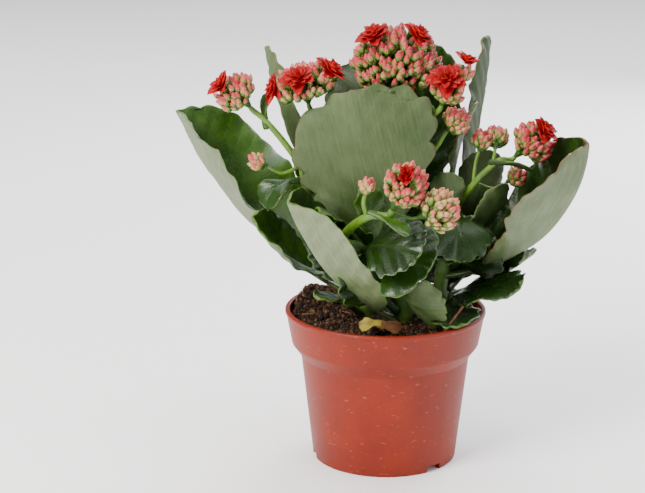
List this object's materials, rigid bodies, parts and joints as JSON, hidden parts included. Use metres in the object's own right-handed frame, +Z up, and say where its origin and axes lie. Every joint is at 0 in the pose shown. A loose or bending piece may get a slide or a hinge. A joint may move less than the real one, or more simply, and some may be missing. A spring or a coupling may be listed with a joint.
{
  "type": "potted kalanchoe plant",
  "caption": "Flowering kalanchoe with scalloped succulent leaves and heads of double red flowers and pink buds, in a round collared nursery pot of soil",
  "frame": {"origin": "centre of the flat disc in the middle of the pot's underside, on the pot's axis", "axes": "+Z up along the pot's axis, -Y towards the front, +X to the right seen from the front"},
  "size_m": [0.2125, 0.1567, 0.232],
  "materials": {
    "pot_plastic": "moulded polypropylene nursery pot in a terracotta colour, satin, lightly scuffed",
    "potting_soil": "loose damp peat potting mix with fibres and bark crumbs",
    "shoot_green": "firm succulent stem, smooth and dull",
    "stalk_green": "smooth light green flower stalk, faintly waxy",
    "leaf_green": "succulent leaf, glossy dark green above and matte grey-green below",
    "bud_pink": "closed buds, cream to coral pink, in light green sepals",
    "petal_red": "open double petals, soft saturated red"
  },
  "bodies": {
    "root": {"pot": "pot_plastic", "soil": "potting_soil", "shoot_front": "shoot_green", "shoot_back": "shoot_green", "shoot_left": "shoot_green", "shoot_right": "shoot_green", "leaf_left_large": "leaf_green", "leaf_left_lower": "leaf_green", "leaf_left_edge": "leaf_green", "leaf_left_drooping": "leaf_green", "leaf_left_inner": "leaf_green", "leaf_left_sprout": "leaf_green", "leaf_left_upper": "leaf_green", "leaf_front_tall": "leaf_green", "leaf_front_low": "leaf_green", "leaf_front_round": "leaf_green", "leaf_front_under": "leaf_green", "leaf_front_pale": "leaf_green", "leaf_front_small_a": "leaf_green", "leaf_front_small_b": "leaf_green", "leaf_back_tall": "leaf_green", "leaf_back_right": "leaf_green", "leaf_back_left": "leaf_green", "leaf_back_low": "leaf_green", "leaf_right_large": "leaf_green", "leaf_right_low": "leaf_green", "leaf_right_side": "leaf_green", "leaf_right_round": "leaf_green", "leaf_right_upper": "leaf_green", "leaf_right_small": "leaf_green", "leaf_right_pale": "leaf_green", "leaf_right_tall": "leaf_green", "leaf_right_edge": "leaf_green", "stalk_left": "stalk_green", "stalk_upper_left": "stalk_green", "stalk_top_a": "stalk_green", "stalk_top_b": "stalk_green", "stalk_upper_right": "stalk_green", "stalk_middle": "stalk_green", "stalk_right": "stalk_green", "stalk_front": "stalk_green", "bud_head_left": "bud_pink", "bud_head_upper_left": "bud_pink", "bud_head_top": "bud_pink", "bud_head_upper_right": "bud_pink", "bud_head_middle": "bud_pink", "bud_head_right": "bud_pink", "bud_head_front": "bud_pink", "flower_left": "petal_red", "flower_upper_left_a": "petal_red", "flower_upper_left_b": "petal_red", "flower_upper_left_c": "petal_red", "flower_top_a": "petal_red", "flower_top_b": "petal_red", "flower_upper_right_a": "petal_red", "flower_upper_right_b": "petal_red", "flower_right": "petal_red", "flower_front": "petal_red"}
  },
  "joints": []
}
